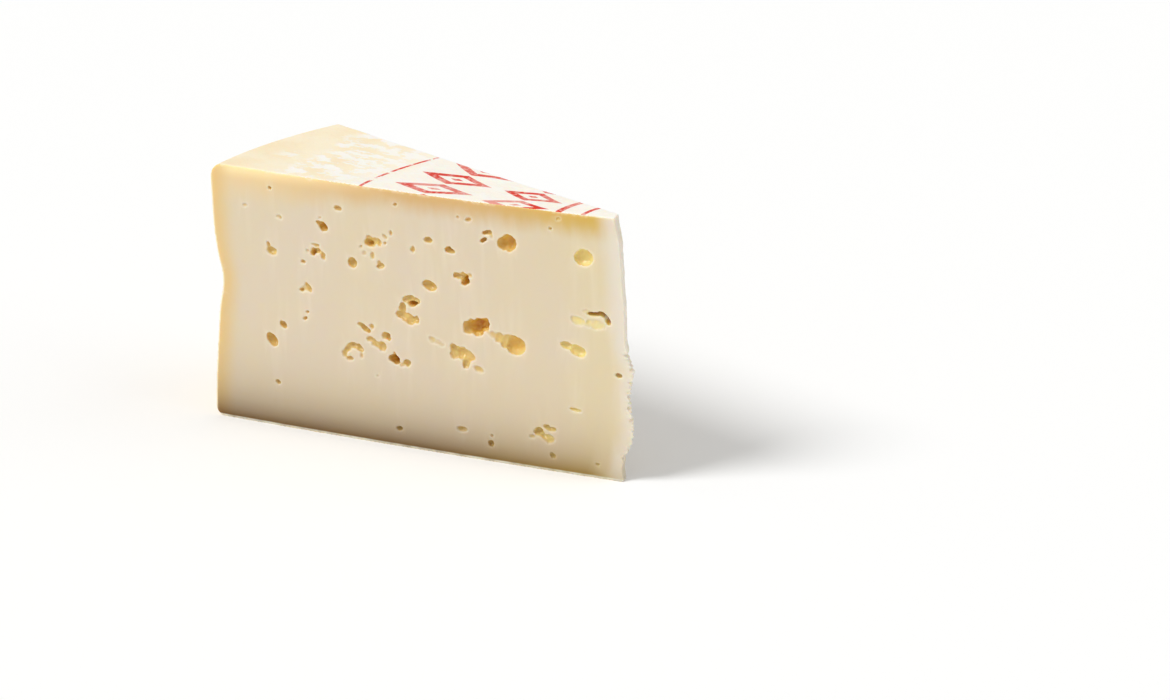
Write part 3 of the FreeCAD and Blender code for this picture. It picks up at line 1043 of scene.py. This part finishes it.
def ivory_ground(tree, at):
    colour = mixed(tree, at.blotches, ivory, warm_ivory)
    # Yellower near the nose: painted light shining through the thin tip.
    return mixed(tree, ease(tree, at.to_nose, 30.0, 8.0, 0.0, 0.35), colour, backlit_nose_ivory)


def golden_band(tree, at, colour):
    """Gold under the top rind, paler towards the heel and yellower towards the nose."""
    wavy_top = maths(tree, "MULTIPLY_ADD", at.ragged, -2.0, at.below_top)
    band = mixed(tree, ease(tree, at.reach, 70.0, 14.0), band_gold, nose_gold)
    band = mixed(tree, at.near_heel, band, heel_gold)
    band_width = ease(tree, at.reach, 90.0, 150.0, *band_widths)
    colour = mixed(tree, ease(tree, wavy_top, band_width, 0.5, 0.0, 0.95), colour, band)
    shoulder = times(tree, ease(tree, at.below_top, 5.0, 0.5), at.near_heel)
    return mixed(tree, shoulder, colour, shoulder_cream)


def dry_heel_and_backlit_nose(tree, at, colour):
    # The heel darkens where the paste has dried; the pale grey at the nose is painted light
    # shining through the thin tip.
    colour = mixed(tree, ease(tree, at.to_heel, *heel_crust, 0.0, 0.85), colour, dry_heel)
    return mixed(tree, ease(tree, at.to_nose, *backlit_nose_reach, 0.0, 0.85), colour, backlit_nose_grey)


print("ivory is", [round(value, 2) for value in ivory[:3]], "in linear light")

# %% Colours inside an eye
lip_highlight_ivory = srgb(244, 234, 216)
backlit_nose_eyes = srgb(243, 225, 150), srgb(247, 224, 146)    # the gold and the brown of an eye
heel_eyes = srgb(226, 193, 116), srgb(230, 180, 76)
deepest_shaded_brown = srgb(204, 122, 36)
gold_depths = 0.08, 0.7     # millimetres, where a colour starts and is full
brown_depths = 1.2, 2.7
deepest_depths = 2.8, 4.6


def eye_colours(tree, at, colour):
    """A painted highlight at the rim, then gold, and brown where the eye is deep: partly the
    wall's tint, partly painted shade. Paler near the nose, as painted light through the thin
    paste.
    """
    deep, from_nose = attribute(tree, "eye_depth"), ease(tree, at.reach, 15.0, 60.0)
    # A painted highlight lightens the rim of each eye.
    colour = mixed(tree, times(tree, attribute(tree, "lip"), 0.42), colour, lip_highlight_ivory)
    # Near the nose the eyes are paler: painted light shining through the thin paste.
    gold, brown = (mixed(tree, from_nose, *pair) for pair in zip(backlit_nose_eyes, heel_eyes))
    # Gold, brown and deepest brown with depth: partly the wall's own tint, partly painted shade of
    # the hollow.
    colour = mixed(tree, ease(tree, deep, *gold_depths, 0.0, 0.95), colour, gold)
    colour = mixed(tree, ease(tree, deep, *brown_depths, 0.0, 0.95), colour, brown)
    return mixed(tree, ease(tree, deep, *deepest_depths, 0.0, 0.85), colour, deepest_shaded_brown)


print("places of the deepest brown:", int((depth > deepest_depths[0]).sum()))

# %% The browned and shaded foot, and the broken rind along the edges
nose_foot, heel_foot = (0.40, 0.28, 0.04, 1.0), (0.19, 0.10, 0.0, 1.0)     # tints
foot_fall = 9.0             # millimetres, over which the brown of the foot fades
rind_crumb = srgb(240, 230, 206)


def browned_and_shaded_foot(tree, at, colour):
    # Darker towards the base, most towards the heel: partly paste that has dried there, partly
    # painted shade along the foot.
    foot = maths(tree, "EXPONENT", times(tree, at.height, -1 / foot_fall))
    foot = maths(tree, "MINIMUM", times(tree, foot, 1.06), 0.97)
    foot = times(tree, foot, ease(tree, at.to_nose, 1.0, 13.0, 0.45, 1.0))
    dried_and_shaded = mixed(tree, ease(tree, at.reach, 10.0, 85.0), nose_foot, heel_foot)
    return mixed(tree, foot, colour, dried_and_shaded, "MULTIPLY")


def broken_edges(tree, at, colour):
    """A thin pale line of broken rind at the top, the foot and the heel of a cut."""
    broken = times(tree, ease(tree, at.below_top, 0.9, 0.5), ease(tree, at.reach, 115.0, 90.0))
    for edge in (ease(tree, at.height, 1.0, 0.5), ease(tree, at.to_heel, 1.0, 0.4)):
        broken = maths(tree, "MAXIMUM", broken, edge)
    broken = times(tree, broken, maths(tree, "MULTIPLY_ADD", at.ragged, 0.7, 0.3))
    return mixed(tree, broken, colour, rind_crumb)


print("brown fades over", foot_fall, "mm")

# %% The paste's material
light_reach = 1.0, 0.68, 0.36   # how far red, green and blue light go into cheese


def paste_material():
    material, tree, shader = new_material("ivory paste")
    at = paste_facts(tree)
    colour = ivory_ground(tree, at)
    for layer in (golden_band, dry_heel_and_backlit_nose, eye_colours, browned_and_shaded_foot, broken_edges):
        colour = layer(tree, at, colour)
    streaks = mottled(tree, at.place, Pitch=0.9, Stretch=(1, 1, 60), From=0.2, To=0.8)
    skin_height = pore_height(tree, at.place, 0.8, 0.25)
    relief = maths(tree, "MULTIPLY_ADD", streaks, 0.12, skin_height)
    bump = add_node(tree, "ShaderNodeBump", Strength=0.35, Distance=0.08 * mm, Height=relief)
    roughness = ease(tree, attribute(tree, "eye_depth"), 0.1, 1.0, 0.46, 0.26)
    fill_inputs(
        tree, shader, Base_Color=colour, Roughness=roughness, IOR=1.42, Normal=bump.outputs[0],
        Subsurface_Weight=0.7, Subsurface_Radius=light_reach, Subsurface_Scale=3.2 * mm,
    )
    return material


paste = paste_material()
print("paste:", len(paste.node_tree.nodes), "nodes")

# %% [markdown]
# ## The rind and its print
#
# The rind is a thin dry skin of the same cheese. Where the wheel was wrapped it has a white
# bloom, and the bare shoulder stays straw yellow. A food-safe red print runs round the top in
# rings. Here the print is a plain border: rings and open lozenges, worn as ink on a damp rind
# is. It could be a picture, but a few formulas about the wheel's axis stay sharp at any size
# and need no file.

# %% Group: a ring of open lozenges
def lozenge_group():
    """Ink from 0 to 1 for a ring of open lozenges, each with a small solid one in it."""
    tree, given, result = new_group(
        "ring of lozenges",
        "ShaderNodeTree",
        {
            "Reach": ("Float", None), "Turn": ("Float", None),
            "Ring": ("Float", 78.0), "Pitch": ("Float", 12.5), "Start": ("Float", 0.0),
            "Half width": ("Float", 4.4), "Half height": ("Float", 11.5),
            "Stroke": ("Float", 2.6), "Core": ("Float", 0.24),
        },
        {"Ink": ("Float", None)},
    )
    round_ring = times(tree, given["Turn"], given["Ring"])
    steps = maths(tree, "DIVIDE", maths(tree, "ADD", round_ring, given["Start"]), given["Pitch"])
    share = maths(tree, "SUBTRACT", maths(tree, "FRACT", steps), 0.5)
    sideways = times(tree, share, given["Pitch"])
    upright = maths(tree, "SUBTRACT", given["Reach"], given["Ring"])
    wide = maths(tree, "DIVIDE", maths(tree, "ABSOLUTE", sideways), given["Half width"])
    tall = maths(tree, "DIVIDE", maths(tree, "ABSOLUTE", upright), given["Half height"])
    out = maths(tree, "ADD", wide, tall)
    from_line = maths(tree, "ABSOLUTE", maths(tree, "SUBTRACT", out, 1.0))
    distance = times(tree, from_line, given["Half width"])
    half_stroke = times(tree, given["Stroke"], 0.5)
    line = ease(tree, maths(tree, "SUBTRACT", distance, half_stroke), 0.15, -0.15)
    core = ease(tree, maths(tree, "SUBTRACT", out, given["Core"]), 0.03, -0.03)
    fill_inputs(tree, result, Ink=maths(tree, "MAXIMUM", line, core))
    return tree


def ring_line(tree, reach, radius, width):
    """A thin ring of ink."""
    away = maths(tree, "ABSOLUTE", maths(tree, "SUBTRACT", reach, radius))
    return ease(tree, maths(tree, "SUBTRACT", away, width / 2), 0.12, -0.12)


lozenges = lozenge_group()
print("ring of lozenges:", len(lozenges.nodes), "nodes")

# %% The print: two rings of lozenges between ring lines
red_ink = srgb(222, 44, 6)
outer_ring, middle_ring, inner_ring = (100.8, 1.2), (30.0, 2.2), (21.5, 1.5)


def worn_print(tree, at, colour, on_top):
    worn = mottled(tree, at.place, Pitch=1.6, Detail=5.0, From=0.40, To=0.50)
    fading = mottled(tree, at.place, Pitch=17.0, Detail=2.0, From=0.3, To=0.55)
    broken = mottled(tree, at.place, Pitch=2.6, Detail=4.0, From=0.37, To=0.5)
    ink = use_group(tree, lozenges, Reach=at.reach, Turn=at.turn, Start=3.0)[0]
    inner = use_group(
        tree, lozenges, Reach=at.reach, Turn=at.turn, Ring=46.0, Pitch=10.5, Half_width=3.8,
        Half_height=9.5, Stroke=2.2, Start=3.0,
    )[0]
    outer_line = times(tree, ring_line(tree, at.reach, *outer_ring), broken)
    middle_line = ring_line(tree, at.reach, *middle_ring)
    inner_line = ring_line(tree, at.reach, *inner_ring)
    for part in (inner, outer_line, middle_line, inner_line):
        ink = maths(tree, "MAXIMUM", ink, part)
    ink = times(tree, ink, maths(tree, "MULTIPLY_ADD", worn, 0.3, 0.7))
    ink = times(tree, ink, maths(tree, "MULTIPLY_ADD", fading, 0.32, 0.68))
    return mixed(tree, times(tree, ink, on_top), colour, red_ink)


print("ring lines, as radius and width:", outer_ring, middle_ring, inner_ring, "mm")

# %% The bloomed top and the bare side
straw, pale_straw, bloom = srgb(253, 231, 192), srgb(253, 238, 208), srgb(254, 248, 237)
side_straw, side_brown = srgb(233, 196, 126), srgb(224, 178, 104)
streak_edge = 150.0, 138.0  # millimetres from the axis, where the bloom starts and is full
full_bloom = 128.0, 102.0


def bloomed_top(tree, at, streaky, on_top):
    """Straw, with a white bloom that breaks into streaks near the heel."""
    colour = mixed(tree, at.blotches, straw, pale_straw)
    wandering = maths(tree, "MULTIPLY_ADD", at.blotches, 14.0, at.reach)
    patchy = times(tree, streaky, ease(tree, wandering, *streak_edge))
    patchy = maths(tree, "MAXIMUM", patchy, ease(tree, wandering, *full_bloom, 0.0, 0.85))
    return mixed(tree, times(tree, patchy, on_top), colour, bloom)


def bare_side(tree, at, colour, on_side):
    """Straw yellow, browner in uneven patches and in the crease."""
    below = ease(tree, at.height, height_in_mm - 2.0, 50.0, 0.0, 0.55)
    colour = mixed(tree, below, colour, side_straw)
    patches = mottled(
        tree, at.place, Pitch=7.5, Stretch=(1.6, 1.6, 1), Detail=6.0, Fineness=0.6,
        From=0.42, To=0.68,
    )
    to_crease = maths(tree, "SUBTRACT", at.height, crease_level / mm)
    in_crease = ease(tree, maths(tree, "ABSOLUTE", to_crease), 7.0, 0.0, 0.0, 0.4)
    browner = maths(tree, "MAXIMUM", times(tree, patches, 0.36), in_crease)
    return mixed(tree, times(tree, browner, on_side), colour, side_brown)


print("crease at", round(crease_level / mm, 1), "mm")

# %% The rind's material, and both given to the body
thread_pitch = 1.4          # millimetres, of the cloth round the side


def cloth_weave(tree, at, on_side):
    """The faint weave that the cloth left round the side."""
    threads = 2 * math.pi / thread_pitch
    around = maths(tree, "SINE", times(tree, at.turn, threads * wheel_radius / mm))
    upwards = maths(tree, "SINE", times(tree, at.height, threads))
    return times(tree, around, upwards, on_side)


def rind_material():
    material, tree, shader = new_material("dry rind")
    at = place_facts(tree, 14.0)
    streaky = mottled(
        tree, at.place, Pitch=4.6, Stretch=(1.6, 1, 1), Detail=6.0, Fineness=0.62,
        From=0.455, To=0.535,
    )
    on_top = ease(tree, at.height, height_in_mm - 3.0, height_in_mm - 1.5)
    on_side = ease(tree, at.height, height_in_mm - 2.0, height_in_mm - 12.0)
    on_side = times(tree, on_side, ease(tree, at.height, 0.5, 2.0))
    colour = bloomed_top(tree, at, streaky, on_top)
    colour = bare_side(tree, at, colour, on_side)
    colour = worn_print(tree, at, colour, on_top)
    skin_height = pore_height(tree, at.place, 1.1, 0.4)
    relief = maths(tree, "MULTIPLY_ADD", streaky, 0.8, skin_height)
    relief = maths(tree, "MULTIPLY_ADD", cloth_weave(tree, at, on_side), 0.35, relief)
    bump = add_node(tree, "ShaderNodeBump", Strength=0.5, Distance=0.12 * mm, Height=relief)
    fill_inputs(
        tree, shader, Base_Color=colour, Roughness=ease(tree, at.blotches, 0.0, 1.0, 0.58, 0.7),
        Normal=bump.outputs[0], Subsurface_Weight=0.3, Subsurface_Radius=light_reach,
        Subsurface_Scale=2.0 * mm,
    )
    return material


body.data.materials.clear()
for material in (paste, rind_material()):
    body.data.materials.append(material)
body.data.polygons.foreach_set("material_index", face_slots)
body.data.polygons.foreach_set("use_smooth", [True] * len(face_slots))
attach(body, "root")
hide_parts("cheese_wedge")
bpy.data.objects.remove(eyes)
print("finishes:", [material.name for material in body.data.materials])

# %% [markdown]
# ## Floor, light and camera
#
# The floor is plain and pale. A soft lamp stands high on the left, in front, a weak one lights
# the nose from the right, and the sky fills the rest evenly, so colours come out about as they
# are written. The camera is a long lens that looks down at the front cut.

# %% Floor and light
def floor_material():
    material, tree, shader = new_material("pale floor")
    pale = srgb(252, 252, 251)
    fill_inputs(tree, shader, Base_Color=pale, Roughness=0.9, Specular_IOR_Level=0.1)
    return material


def make_floor(half_size):
    signs = (-1, -1), (1, -1), (1, 1), (-1, 1)
    corners = [Vector((x, y, 0)) * half_size for x, y in signs]
    mesh = bpy.data.meshes.new("floor")
    mesh.from_pydata(corners, [], [(0, 1, 2, 3)])
    mesh.materials.append(floor_material())
    floor = mesh_object("floor", mesh)


def towards(azimuth, elevation):
    """The direction to a place seen at an azimuth from -Y towards +X, and an elevation."""
    around, up = math.radians(azimuth), math.radians(elevation)
    flat = Vector((math.sin(around), -math.cos(around), 0))
    return flat * math.cos(up) + Vector((0, 0, math.sin(up)))


def make_sun(name, azimuth, elevation, strength, softness):
    lamp = bpy.data.lights.new(name, "SUN")
    lamp.energy = strength
    lamp.angle = math.radians(softness)
    sun = bpy.data.objects.new(name, lamp)
    sun.rotation_euler = towards(azimuth, elevation).to_track_quat("Z", "Y").to_euler()
    bpy.context.scene.collection.objects.link(sun)


make_floor(half_size=4.0)
make_sun("key", azimuth=-32, elevation=48, strength=1.9, softness=24)
make_sun("fill", azimuth=115, elevation=35, strength=0.45, softness=60)
world = bpy.data.worlds.new("even sky")
world.use_nodes = True
sky = world.node_tree.nodes["Background"]
fill_inputs(world.node_tree, sky, Color=(1, 1, 1, 1), Strength=0.50)
bpy.context.scene.world = world
bpy.context.scene.view_settings.view_transform = "Standard"
print("lamps:", [lamp.name for lamp in bpy.data.lights])

# %% Camera
camera_azimuth = 36.95
camera_elevation = 18.63
target_setback = 3.3 * mm       # the camera's place is measured from this far down the cut
camera_offset = Vector((744.4, -1016.1, 469.75)) * mm
sensor_width, focal_length = 36.0, 129.2    # the lens, in millimetres

lens = bpy.data.cameras.new("camera")
lens.sensor_width = sensor_width
lens.lens = focal_length
camera = bpy.data.objects.new("camera", lens)
to_heel, _ = cut_frame(-1)
camera.location = axis_place + to_heel * target_setback + camera_offset
away = towards(camera_azimuth, camera_elevation)
camera.rotation_euler = away.to_track_quat("Z", "Y").to_euler()
bpy.context.scene.collection.objects.link(camera)
bpy.context.scene.camera = camera
print("camera at", [round(value, 3) for value in camera.location], "m")
